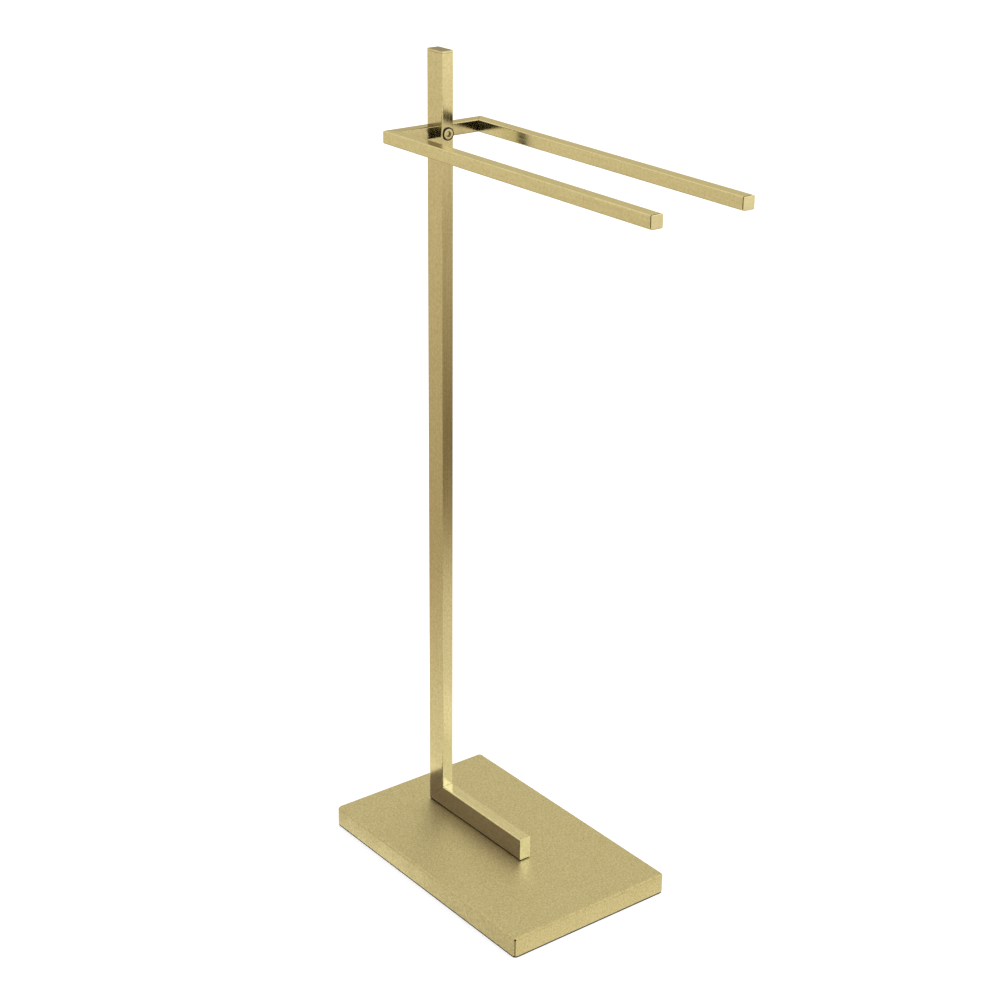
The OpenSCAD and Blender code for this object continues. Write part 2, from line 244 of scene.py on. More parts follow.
def bump(height: NodeSocket, depth: float, under: NodeSocket | None = None) -> NodeSocket:
    """Lifts the surface by a height pattern.

    Args:
        height: Pattern from zero to one.
        depth: Height of the pattern, in metres.
        under: Normal of a coarser bump below this one.

    Returns:
        Socket with the normal.
    """
    values = {"Strength": 1.0, "Distance": depth}
    links = {"Height": height} if under is None else {"Height": height, "Normal": under}
    return add_node(height.id_data, "ShaderNodeBump", values, links).outputs["Normal"]


@dataclass(frozen=True)
class Finish:
    """Surface whose colour and roughness vary between two values each, which every kind names itself."""

    name: str

    def patterns(self, tree: NodeTree) -> Patterns:
        """Lays out the patterns of the surface.

        Args:
            tree: Node tree of the material.

        Returns:
            Constants of the shader, noise of the colour, noise of the roughness, and the normal, if any.
        """
        raise NotImplementedError

    def material(self) -> Material:
        """Builds the material."""
        material, tree = new_tree(self.name)
        values, tones, gloss, normal = self.patterns(tree)
        links = {"Base Color": mix(spread(tones, 0.0, 1.0), linear(self.dark), linear(self.light)),
                 "Roughness": spread(gloss, self.smooth, self.rough)}
        if normal is not None:
            links["Normal"] = normal
        shader = add_node(tree, "ShaderNodeBsdfPrincipled", values, links)
        add_node(tree, "ShaderNodeOutputMaterial", links={"Surface": shader.outputs["BSDF"]})
        return material


@dataclass(frozen=True)
class BrushedBrass(Finish):
    """Brass-finished tube, brushed lengthwise and lacquered: long fine streaks that blur across."""

    brush: Axis
    dark: str = "#C4B37B"
    light: str = "#DFD09B"
    # The lacquer keeps a glancing reflection warm
    edge: str = "#F2E8CC"
    streak_length: float = 60 * MM
    # Real belt marks are a tenth of this wide, too fine to show at the render's size
    streak_width: float = 0.9 * MM
    mottle: float = 2.6 * MM
    mottle_share: float = 0.6
    streak_depth: float = 0.006 * MM
    mottle_depth: float = 0.004 * MM
    smooth: float = 0.13
    rough: float = 0.2

    def patterns(self, tree: NodeTree) -> Patterns:
        """Lays out the belt's streaks and a mottle."""
        cell = Vector([self.streak_width] * 3)
        cell[self.brush.value] = self.streak_length
        streaks = noise(tree, cell, detail=3.0, roughness=0.6)
        mottle = noise(tree, [self.mottle] * 3, detail=2.0, roughness=0.6)
        both = add_node(tree, "ShaderNodeMix", {0: self.mottle_share}, {2: streaks, 3: mottle}).outputs[0]
        normal = bump(streaks, self.streak_depth, bump(mottle, self.mottle_depth))
        return {"Metallic": 1.0, "Specular Tint": linear(self.edge)}, both, streaks, normal


@dataclass(frozen=True)
class GrainedBrass(Finish):
    """Brass-finished steel sheet with a fine orange-peel grain under lacquer: soft, blurred reflections."""

    dark: str = "#AE9E68"
    light: str = "#DFD097"
    grain: float = 1.8 * MM
    cloud: float = 24 * MM
    grain_depth: float = 0.03 * MM
    smooth: float = 0.46
    rough: float = 0.54

    def patterns(self, tree: NodeTree) -> Patterns:
        """Lays out the grain and clouds of gloss."""
        grain = noise(tree, [self.grain] * 3, detail=4.0, roughness=0.75)
        cloud = noise(tree, [self.cloud] * 3, detail=2.0, roughness=0.5)
        return {"Metallic": 1.0}, grain, cloud, bump(grain, self.grain_depth)


@dataclass(frozen=True)
class TurnedBrass(Finish):
    """Brass-plated steel screw, turned and tumbled: as bright as the tube, with rings round its axis."""

    axis: Axis
    centre: Vector
    dark: str = "#BFAE76"
    light: str = "#DACB96"
    ring: float = 0.5 * MM
    ring_depth: float = 0.004 * MM
    smooth: float = 0.12
    rough: float = 0.2

    def patterns(self, tree: NodeTree) -> Patterns:
        """Lays out the rings."""
        point = add_node(tree, "ShaderNodeTexCoord").outputs["Object"]
        moved = add_node(tree, "ShaderNodeMapping", {"Location": -self.centre}, {"Vector": point})
        flat = [0.0 if i == self.axis.value else 1 / self.ring for i in range(3)]
        across = add_node(tree, "ShaderNodeVectorMath", {1: flat}, {0: moved.outputs["Vector"]},
                          operation="MULTIPLY")
        reach = add_node(tree, "ShaderNodeVectorMath", links={0: across.outputs[0]}, operation="LENGTH")
        rings = add_node(tree, "ShaderNodeTexNoise", {"Scale": 1.0, "Detail": 2.0},
                         {"W": reach.outputs["Value"]}, noise_dimensions="1D").outputs["Fac"]
        return {"Metallic": 1.0}, rings, rings, bump(rings, self.ring_depth)


@dataclass(frozen=True)
class ZincSteel(Finish):
    """Zinc-plated mild steel inside the stand: dull grey with a faint spangle."""

    dark: str = "#8E9193"
    light: str = "#B4B7B9"
    spangle: float = 6 * MM
    smooth: float = 0.38
    rough: float = 0.55

    def patterns(self, tree: NodeTree) -> Patterns:
        """Lays out the spangle."""
        spangle = noise(tree, [self.spangle] * 3, detail=3.0, roughness=0.7)
        return {"Metallic": 1.0}, spangle, spangle, None


@dataclass(frozen=True)
class BlackRubber(Finish):
    """Nitrile rubber sheet, calendered: near black, matt, with a fine cloth-like tooth."""

    dark: str = "#0D0A07"
    light: str = "#1C1711"
    specular: float = 0.2
    tooth: float = 0.8 * MM
    tooth_depth: float = 0.05 * MM
    smooth: float = 0.72
    rough: float = 0.9

    def patterns(self, tree: NodeTree) -> Patterns:
        """Lays out the tooth."""
        tooth = noise(tree, [self.tooth] * 3, detail=2.0, roughness=0.6)
        values = {"Metallic": 0.0, "Specular IOR Level": self.specular}
        return values, tooth, tooth, bump(tooth, self.tooth_depth)


@dataclass(frozen=True)
class BlackPrimer(BlackRubber):
    """Primer inside the cover and on the ballast plate, sprayed thin: brown-black and dead matt. On the walls
    of the cover's slits and relief holes it is painted shade.
    """

    dark: str = "#0E0A07"
    light: str = "#1C1510"
    tooth: float = 1.5 * MM
    smooth: float = 0.85
    rough: float = 0.95


@dataclass(frozen=True)
class SocketShadeFinish(BlackPrimer):
    """Walls and mouth of the screw's socket: dark brown and matt, painted shade in the recess."""

    dark: str = "#2A2016"
    light: str = "#4A3B28"


@dataclass(frozen=True)
class BlackNylon(BlackRubber):
    """Nylon of the caps' spigots and of the cup washer, injection moulded: brown-black with a dull skin."""

    dark: str = "#17110B"
    light: str = "#281F17"
    smooth: float = 0.5
    rough: float = 0.65


def block(low: Vector, high: Vector) -> BMesh:
    """Makes a box between two corners.

    Args:
        low: Lowest corner, in metres.
        high: Highest corner, in metres.

    Returns:
        A closed mesh.
    """
    bm = bmesh.new()
    bmesh.ops.create_cube(bm, size=1.0)
    bmesh.ops.scale(bm, vec=high - low, verts=bm.verts)
    bmesh.ops.translate(bm, vec=(low + high) / 2, verts=bm.verts)
    return bm


def rod(foot: Vector, direction: Vector, length: float, radius: float, sides: int = 32,
        flare: float = 0.0) -> BMesh:
    """Makes a round or prismatic rod.

    Args:
        foot: Centre of its first end.
        direction: Unit vector along it.
        length: Its length.
        radius: Its radius over the corners.
        sides: Number of its sides.
        flare: What the radius grows by towards its second end.

    Returns:
        A closed mesh.
    """
    bm = bmesh.new()
    bmesh.ops.create_cone(bm, cap_ends=True, segments=sides, radius1=radius, radius2=radius + flare,
                          depth=length)
    turn = direction.to_track_quat("Z", "Y").to_matrix()
    bmesh.ops.rotate(bm, matrix=turn, verts=bm.verts)
    bmesh.ops.translate(bm, vec=foot + direction * length / 2, verts=bm.verts)
    return bm


def round_edges(bm: BMesh, edges: Iterable[BMEdge], radius: float, segments: int) -> None:
    """Rounds edges with a circular bevel.

    Args:
        bm: Mesh to change.
        edges: Edges to round.
        radius: Radius of the round, in metres.
        segments: Number of its facets.
    """
    bmesh.ops.bevel(bm, geom=list(edges), offset=radius, offset_type="OFFSET", segments=segments,
                    profile=0.5, affect="EDGES", material=-1)


def rounded(low: Vector, high: Vector, axis: Axis, radius: float, facets: int = ROUND_FACETS) -> BMesh:
    """Makes a box whose edges along an axis are rounded.

    Args:
        low: Lowest corner, in metres.
        high: Highest corner, in metres.
        axis: Direction of those edges.
        radius: Radius of the rounds.
        facets: Number of their facets.

    Returns:
        A closed mesh.
    """
    bm = block(low, high)
    unit = axis.unit()
    edges = [e for e in bm.edges if abs((e.verts[1].co - e.verts[0].co).normalized().dot(unit)) > ALONG]
    round_edges(bm, edges, radius, facets)
    return bm


def soften(bm: BMesh, width: float) -> None:
    """Breaks the sharp edges of a mesh, as a maker does with a file.

    Args:
        bm: Mesh to change.
        width: Width of the broken edge, in metres.
    """
    sharp = [e for e in bm.edges if e.is_manifold and e.calc_face_angle() > SHARP_ANGLE]
    round_edges(bm, sharp, width, BREAK_FACETS)


def new_object(name: str, bm: BMesh, finishes: Iterable[Material] = ()) -> bpy.types.Object:
    """Turns a mesh into an object of the scene.

    Args:
        name: Name of the object and of its mesh.
        bm: Mesh. It is freed.
        finishes: Its materials.

    Returns:
        The object.
    """
    mesh = bpy.data.meshes.new(name)
    bm.to_mesh(mesh)
    bm.free()
    for finish in finishes:
        mesh.materials.append(finish)
    made = bpy.data.objects.new(name, mesh)
    bpy.context.scene.collection.objects.link(made)
    return made


def combine(bm: BMesh, tools: Iterable[BMesh], operation: str = "DIFFERENCE") -> BMesh:
    """Cuts tools out of a mesh, or joins them to it.

    Args:
        bm: Closed mesh to change. It is freed.
        tools: Closed meshes. They are freed.
        operation: DIFFERENCE or UNION.

    Returns:
        The changed mesh.
    """
    work = new_object("bench", bm)
    benches = [new_object("bench", tool) for tool in tools]
    for tool in benches:
        cut = work.modifiers.new("cut", "BOOLEAN")
        cut.operation = operation
        cut.solver = "EXACT"
        cut.object = tool
    shape = bpy.data.meshes.new_from_object(work.evaluated_get(bpy.context.evaluated_depsgraph_get()))
    result = bmesh.new()
    result.from_mesh(shape)
    bpy.data.meshes.remove(shape)
    for thing in (work, *benches):
        mesh = thing.data
        bpy.data.objects.remove(thing)
        bpy.data.meshes.remove(mesh)
    bmesh.ops.remove_doubles(result, verts=result.verts, dist=WELD)
    return result


@dataclass
class Piece:
    """A finished piece of the stand that stands for one CAD node."""

    node: str
    slot: Slot
    finish: Material
    others: tuple[Material, ...] = ()
    box: tuple[Vector, Vector] = field(init=False)

    def __post_init__(self) -> None:
        """Reads the node's box from the frame."""
        self.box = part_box(self.node)

    def make(self, bm: BMesh) -> None:
        """Turns a mesh into the finished object, riding on the body in its node's place.

        Args:
            bm: The piece's mesh. It is freed.
        """
        bmesh.ops.recalc_face_normals(bm, faces=bm.faces)
        made = new_object(self.node + "_finished", bm, (self.finish, *self.others))
        made.data.shade_smooth()
        made.data.set_sharp_from_angle(angle=SHARP_ANGLE)
        # Large flat faces keep their own normal, so that the rounds beside them don't bend their reflections
        normals = made.modifiers.new("flat_faces", "WEIGHTED_NORMAL")
        normals.weight = 100
        normals.keep_sharp = True
        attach(made, BODY)
        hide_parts(self.node)
        LOG.info("%s: %d faces", made.name, len(made.data.polygons))


def dress(nodes: Iterable[str], finish: Material) -> None:
    """Gives carried-over CAD nodes their material.

    Args:
        nodes: Names of the nodes.
        finish: Material for all of them.
    """
    for node in nodes:
        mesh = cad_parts[node].data
        mesh.materials.clear()
        mesh.materials.append(finish)
        LOG.info("%s: dressed with %s", node, finish.name)


def drill(centre: Vector, axis: Axis, start: float, end: float, radius: float) -> BMesh:
    """Makes the rod that drills a screw's hole through a wall.

    Args:
        centre: Point on the hole's middle line.
        axis: Direction of the hole.
        start: Start of the wall, from that point along the axis.
        end: End of the wall.
        radius: Radius of the hole.

    Returns:
        A closed mesh that overruns both faces.
    """
    unit = axis.unit()
    return rod(centre + unit * (start - OVER), unit, end - start + 2 * OVER, radius)


@dataclass
class TubeStock:
    """Rectangular tube stock."""

    radius: float
    wall: float

    def cut(self, low: Vector, high: Vector, axis: Axis) -> BMesh:
        """Saws off a straight length of tube.

        Args:
            low: Lowest corner of the length.
            high: Highest corner.
            axis: Direction in which it runs.

        Returns:
            A closed mesh of the hollow tube.
        """
        outer = rounded(low, high, axis, self.radius)
        wall = Vector([-OVER if i == axis.value else self.wall for i in range(3)])
        inner = rounded(low + wall, high - wall, axis, self.radius - self.wall)
        return combine(outer, [inner])


def mitre_block(corner: Vector, way: Vector, height: float) -> BMesh:
    """Makes the block that cuts a mitre.

    Args:
        corner: Point on the mitre's plane.
        way: Direction from the plane to what is cut off.
        height: Height of the tube.

    Returns:
        A closed mesh.
    """
    normal = way.normalized()
    half = Vector((1, 1, 1)) * height * MITRE_SIZE / 2
    bm = block(-half, half)
    turn = normal.to_track_quat("Z", "Y").to_matrix()
    bmesh.ops.rotate(bm, matrix=turn, verts=bm.verts)
    bmesh.ops.translate(bm, vec=corner + normal * (half.x - MITRE_GAP / 2), verts=bm.verts)
    return bm


@dataclass
class EndCap(Piece):
    """Cap plate with a black spigot, pressed into the end of a tube.

    The spigot's finish comes second. A third, where given, goes on the outer face: on the column's top cap it
    is a far darker brass, painted shade on its top.
    """

    outward: Axis = Axis.Z
    plate: float = 1.0 * MM
    radius: float = 1.2 * MM
    spigot_inset: float = 1.25 * MM
    rim_break: float = 0.4 * MM
    rim_facets: int = 3

    def build(self) -> None:
        """Builds the cap in its node's box."""
        low, high = self.box
        way = self.outward.value
        plate_low, spigot_high = low.copy(), high.copy()
        plate_low[way] = high[way] - self.plate
        spigot_high[way] = high[way] - self.plate / 2
        inset = Vector([0 if i == way else self.spigot_inset for i in range(3)])
        plate = rounded(plate_low, high, self.outward, self.radius)
        rim = [e for e in plate.edges if all(v.co[way] > high[way] - self.plate / 2 for v in e.verts)]
        round_edges(plate, rim, self.rim_break, self.rim_facets)
        spigot = block(low + inset, spigot_high - inset)
        cap = combine(plate, [spigot], "UNION")
        for face in cap.faces:
            if face.calc_center_median()[way] < plate_low[way] - SLACK:
                face.material_index = 1
            elif len(self.others) > 1 and face.normal[way] > FACING:
                face.material_index = 2
        self.make(cap)


@dataclass
class Base:
    """Weighted base: rubber pad, closed steel box with its ballast, and the folded cover."""

    sheet: float = 1.5 * MM
    bend: float = 3.0 * MM
    bend_facets: int = 8
    corner: float = 4.5 * MM
    corner_facets: int = 10
    slit: float = 0.9 * MM
    relief_radius: float = 1.0 * MM
    relief_drop: float = 2.2 * MM
    relief_facets: int = 24
    pad_inset: float = 0.5 * MM
    pad_break: float = 0.2 * MM
    pad_facets: int = 6
    bolt_radius: float = 3.3 * MM
    access_radius: float = 7.5 * MM

    def bolt_drills(self, radius: float, start: float, end: float) -> list[BMesh]:
        """Makes the two rods that drill the bolts' holes between two heights."""
        low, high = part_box("foot_bolts")
        head = (high.y - low.y) / 2
        return [drill(Vector((x, 0, 0)), Axis.Z, start, end, radius) for x in (low.x + head, high.x - head)]

    def pad(self, finish: Material) -> None:
        """Builds the non-slip pad with its access holes."""
        piece = Piece("non_slip_pad", Slot.RUBBER, finish)
        low, high = piece.box
        bm = rounded(low, high, Axis.Z, self.corner - self.pad_inset, self.pad_facets)
        soften(bm, self.pad_break)
        piece.make(combine(bm, self.bolt_drills(self.access_radius, low.z, high.z)))

    def corner_cutters(self, low: Vector, high: Vector) -> list[BMesh]:
        """Makes the tools that open the slit and the relief hole at each corner.

        Args:
            low: Lowest corner of the cover.
            high: Its highest corner.

        Returns:
            Two closed meshes for each corner.
        """
        tools = []
        relief_z = high.z - self.relief_drop
        for x, sx in ((low.x + self.corner, -1), (high.x - self.corner, 1)):
            for y, sy in ((low.y + self.corner, -1), (high.y - self.corner, 1)):
                centre = Vector((x, y, 0))
                out = Vector((sx, sy, 0)).normalized()
                slot = block(Vector((0, -self.slit / 2, low.z - OVER)),
                             Vector((self.corner + OVER, self.slit / 2, relief_z)))
                turn = Matrix.Rotation(math.atan2(sy, sx), 3, "Z")
                bmesh.ops.rotate(slot, matrix=turn, verts=slot.verts)
                bmesh.ops.translate(slot, vec=centre, verts=slot.verts)
                tools.append(slot)
                foot = centre + Vector((0, 0, relief_z))
                tools.append(rod(foot, out, self.corner + OVER, self.relief_radius, self.relief_facets))
        return tools

    def in_corner_cut(self, middle: Vector, normal: Vector, high: Vector) -> bool:
        """Tells the walls of the slits and relief holes, which get painted shade, from the cover's other
        faces.

        Args:
            middle: The face's middle.
            normal: Its normal.
            high: Highest corner of the cover.

        Returns:
            True for such a wall.
        """
        out = Vector((math.copysign(1, middle.x), math.copysign(1, middle.y), 0)).normalized()
        reach = Vector((abs(middle.x), abs(middle.y))) - high.xy + Vector((self.corner, self.corner))
        aside = abs(reach.x - reach.y) / math.sqrt(2)
        top = high.z - self.relief_drop + self.relief_radius
        return (reach.x + reach.y > 0 and aside < self.relief_radius + SLACK and middle.z < top
                and abs(normal.dot(out)) < BESIDE)

    def rolled(self, low: Vector, high: Vector, corner: float, edge: float) -> BMesh:
        """Makes a block with rounded upright corners and rounded top edges.

        Args:
            low: Lowest corner.
            high: Highest corner.
            corner: Radius of its upright corners.
            edge: Radius of its top edges.

        Returns:
            A closed mesh.
        """
        bm = rounded(low, high, Axis.Z, corner, self.corner_facets)
        rim = [e for e in bm.edges if all(v.co.z > high.z - edge / 2 for v in e.verts)]
        round_edges(bm, rim, edge, self.bend_facets)
        return bm

    def cover(self, finish: Material, primer_and_cut_shade: Material) -> None:
        """Builds the folded cover with its rolled edges and open corners, primed inside, with painted shade
        on the walls of the corner cuts.
        """
        piece = Piece("base_cover", Slot.GRAINED_BRASS, finish, (primer_and_cut_shade,))
        low, high = piece.box
        outer = self.rolled(low, high, self.corner, self.bend)
        wall = Vector((self.sheet, self.sheet, 0))
        inside = high - wall - Vector((0, 0, self.sheet))
        inner = self.rolled(low + wall - Vector((0, 0, OVER)), inside, self.corner - self.sheet,
                            self.bend - self.sheet)
        drills = self.bolt_drills(self.bolt_radius, high.z - self.sheet, high.z)
        shell = combine(outer, [inner, *drills])
        shell = combine(shell, self.corner_cutters(low, high))
        room = inside + Vector((SLACK, SLACK, SLACK))
        for face in shell.faces:
            middle = face.calc_center_median()
            within = abs(middle.x) < room.x and abs(middle.y) < room.y and middle.z < room.z
            # Inside faces take the primer, and the walls of the slits and relief holes take it as painted
            # shade
            face.material_index = int(within or self.in_corner_cut(middle, face.normal, high))
        piece.make(shell)

    def build(self, brass: Material, primer_and_cut_shade: Material, steel: Material, rubber: Material) -> None:
        """Builds the base and dresses what it holds."""
        self.pad(rubber)
        self.cover(brass, primer_and_cut_shade)
        dress(("ballast_plate",), primer_and_cut_shade)
        dress(("bottom_plate", "bottom_plate_screws", "bottom_plate_spacers"), steel)


@dataclass
class Column:
    """Foot and column of one tube, mitred and keyed together and bolted to the base."""

    stock: TubeStock = field(default_factory=lambda: TubeStock(1.5 * MM, 1.2 * MM))
    notch_clear: float = 0.15 * MM
    bolt_radius: float = 3.3 * MM
    screw_radius: float = 3.2 * MM
    rim_break: float = 0.15 * MM
    top_plate: float = 2.0 * MM
    foot_plate: float = 1.5 * MM
    spigot_inset: float = 1.55 * MM

    def mitre(self, side: int) -> BMesh:
        """Makes the block that cuts the mitre: side is 1 above it, -1 below."""
        low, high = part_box("foot_tube")
        corner = Vector((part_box("column_tube")[0].x, 0, low.z))
        return mitre_block(corner, Vector((-side, 0, side)), high.z - low.z)

    def foot(self, finish: Material) -> None:
        """Builds the foot's tube with its mitre and the bolts' holes."""
        piece = Piece("foot_tube", Slot.BRUSHED_BRASS, finish)
        low, high = piece.box[0].copy(), piece.box[1]
        low.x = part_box("column_tube")[0].x
        drills = Base().bolt_drills(self.bolt_radius, low.z, low.z + self.stock.wall)
        tube = combine(self.stock.cut(low, high, Axis.X), [self.mitre(1), *drills])
        soften(tube, self.rim_break)
        piece.make(tube)

    def upright(self, finish: Material) -> None:
        """Builds the column's tube with its mitre, its notch and the screw's hole."""
        piece = Piece("column_tube", Slot.BRUSHED_BRASS, finish)
        low, high = piece.box[0].copy(), piece.box[1]
        low.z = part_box("foot_tube")[0].z
        bar_low, bar_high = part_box("rail_cross_bar")
        notch = block(Vector((low.x - OVER, low.y - OVER, bar_low.z - self.notch_clear)),
                      Vector((bar_high.x, high.y + OVER, bar_high.z + self.notch_clear)))
        middle = Vector((high.x, 0, (bar_low.z + bar_high.z) / 2))
        hole = drill(middle, Axis.X, -self.stock.wall, 0, self.screw_radius)
        piece.make(combine(self.stock.cut(low, high, Axis.Z), [self.mitre(-1), notch, hole]))

    def build(self, upright: Material, foot: Material, top: Material, nylon: Material, steel: Material,
              rubber: Material) -> None:
        """Builds foot, column and caps, and dresses what they hold."""
        self.foot(foot)
        self.upright(upright)
        EndCap("foot_end_cap", Slot.BRUSHED_BRASS, foot, (nylon,), Axis.X, self.foot_plate,
               self.stock.radius, self.spigot_inset).build()
        # The cap's third material paints shade on its top face
        EndCap("column_top_cap", Slot.BRUSHED_BRASS, upright, (nylon, top), Axis.Z, self.top_plate,
               self.stock.radius, self.spigot_inset).build()
        dress(("foot_nut_block", "foot_bolts", "foot_washers", "column_corner_key"), steel)
        dress(("foot_gasket",), rubber)


@dataclass
class Rail:
    """U-shaped rail of square tube, keyed at its mitres and held in the column's notch by one screw."""

    stock: TubeStock = field(default_factory=lambda: TubeStock(1.2 * MM, 1.0 * MM))
    screw_radius: float = 3.2 * MM
    thread_gap: float = 0.2 * MM
    cap_plate: float = 1.0 * MM
    head: float = 1.0 * MM
    head_break: float = 0.2 * MM
    key: float = 4.0 * MM
    key_sides: int = 6
    socket: float = 1.6 * MM
    mouth: float = 0.6 * MM
    tip_break: float = 0.6 * MM
    washer_floor: float = 0.4 * MM
    washer_break: float = 0.15 * MM
    cup_clear: float = 0.1 * MM

    def mitre(self, hand: int, side: int) -> BMesh:
        """Makes the block that cuts a mitre.

        Args:
            hand: -1 for the left arm, 1 for the right.
            side: 1 cuts the arm, -1 the cross bar.

        Returns:
            A closed mesh.
        """
        low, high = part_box("left_arm_tube" if hand < 0 else "right_arm_tube")
        corner = Vector((low.x, low.y if hand < 0 else high.y, (low.z + high.z) / 2))
        return mitre_block(corner, Vector((-side, -hand * side, 0)), high.z - low.z)

    def arm(self, hand: int, finish: Material, cap: Material, nylon: Material) -> None:
        """Builds one arm with its cap.

        Args:
            hand: -1 for the left arm, 1 for the right.
            finish: Material of the tube.
            cap: Material of the cap's plate, a far lighter brass than the tube's: painted highlight.
            nylon: Material of its spigot.
        """
        name = "left_arm" if hand < 0 else "right_arm"
        piece = Piece(name + "_tube", Slot.BRUSHED_BRASS, finish)
        low, high = piece.box
        piece.make(combine(self.stock.cut(low, high, Axis.X), [self.mitre(hand, 1)]))
        EndCap(name + "_cap", Slot.BRUSHED_BRASS, cap, (nylon,), Axis.X, self.cap_plate,
               self.stock.radius).build()

    def cross_bar(self, finish: Material) -> None:
        """Builds the cross bar with its mitres and the screw's hole."""
        piece = Piece("rail_cross_bar", Slot.BRUSHED_BRASS, finish)
        low, high = piece.box[0].copy(), piece.box[1].copy()
        low.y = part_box("left_arm_tube")[0].y
        high.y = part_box("right_arm_tube")[1].y
        middle = Vector((high.x, 0, (low.z + high.z) / 2))
        hole = drill(middle, Axis.X, -self.stock.wall, 0, self.screw_radius)
        mitres = [self.mitre(hand, -1) for hand in (-1, 1)]
        piece.make(combine(self.stock.cut(low, high, Axis.Y), [*mitres, hole]))

    def turned_blank(self, axis: Vector, tip: float, radius: float) -> BMesh:
        """Turns the screw's head and shank on a lathe.

        Args:
            axis: Middle of the head's face.
            tip: Place of the shank's tip from there, along X.
            radius: Radius of the head.

        Returns:
            A closed mesh.
        """
        shank = self.screw_radius - self.thread_gap
        edge = self.head_break
        outline = [(tip, 0.0), (tip, shank - self.tip_break), (tip + self.tip_break, shank),
                   (-self.head, shank), (-self.head, radius - edge / 2), (edge / 2 - self.head, radius),
                   (-edge, radius), (-edge / 3, radius - edge / 3), (0.0, radius - edge), (0.0, 0.0)]
        bm = bmesh.new()
        verts = [bm.verts.new(axis + Vector((x, 0, r))) for x, r in outline]
        edges = [bm.edges.new(pair) for pair in zip(verts, verts[1:])]
        bmesh.ops.spin(bm, geom=verts + edges, cent=axis, axis=Axis.X.unit(), angle=math.tau,
                       steps=CIRCLE_FACETS, use_merge=True)
        bmesh.ops.remove_doubles(bm, verts=bm.verts, dist=WELD)
        bmesh.ops.recalc_face_normals(bm, faces=bm.faces)
        return bm

    def screw(self, finish: Material, socket_shade: Material) -> None:
        """Builds the low screw with its flat head and its hex socket, whose walls and mouth take painted
        shade.
        """
        piece = Piece("rail_screw", Slot.TURNED_BRASS, finish, (socket_shade,))
        low, high = piece.box
        axis = Vector((high.x, 0, (low.z + high.z) / 2))
        blank = self.turned_blank(axis, low.x - high.x, (high.z - low.z) / 2)
        unit = Axis.X.unit()
        corner = self.key / math.sqrt(3)
        socket = rod(axis - unit * self.socket, unit, self.socket + OVER, corner, self.key_sides)
        depth = self.mouth + OVER
        mouth = rod(axis - unit * self.mouth, unit, depth, corner, CIRCLE_FACETS, flare=depth)
        turned = combine(blank, [socket, mouth])
        for face in turned.faces:
            middle = face.calc_center_median() - axis
            inside = middle.x > SLACK - self.socket and math.hypot(middle.y, middle.z) < corner + self.mouth
            # Walls and mouth of the socket take the dark finish: painted shade in the recess
            face.material_index = int(inside and face.normal.x < FACING)
        piece.make(turned)

    def washer(self, finish: Material) -> None:
        """Moulds the cup washer round the screw's head."""
        piece = Piece("rail_screw_washer", Slot.RUBBER, finish)
        low, high = piece.box
        seat = Vector((low.x, (low.y + high.y) / 2, (low.z + high.z) / 2))
        height = high.x - low.x
        ring = rod(seat, Axis.X.unit(), height, (high.z - low.z) / 2, CIRCLE_FACETS)
        soften(ring, self.washer_break)
        head_low, head_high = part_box("rail_screw")
        cup = rod(seat + Vector((self.washer_floor, 0, 0)), Axis.X.unit(), height,
                  (head_high.z - head_low.z) / 2 + self.cup_clear, CIRCLE_FACETS)
        bore = drill(seat, Axis.X, 0, height, self.screw_radius)
        piece.make(combine(ring, [cup, bore]))

    def build(self, along: Material, across: Material, cap: Material, nylon: Material, turned: Material,
              socket_shade: Material, steel: Material) -> None:
        """Builds arms, cross bar, caps, washer and screw, and dresses what they hold."""
        for hand in (-1, 1):
            self.arm(hand, along, cap, nylon)
        self.cross_bar(across)
        self.washer(nylon)
        self.screw(turned, socket_shade)
        dress(("left_corner_key", "right_corner_key", "rail_nut_block", "rail_spacer_sleeve"), steel)


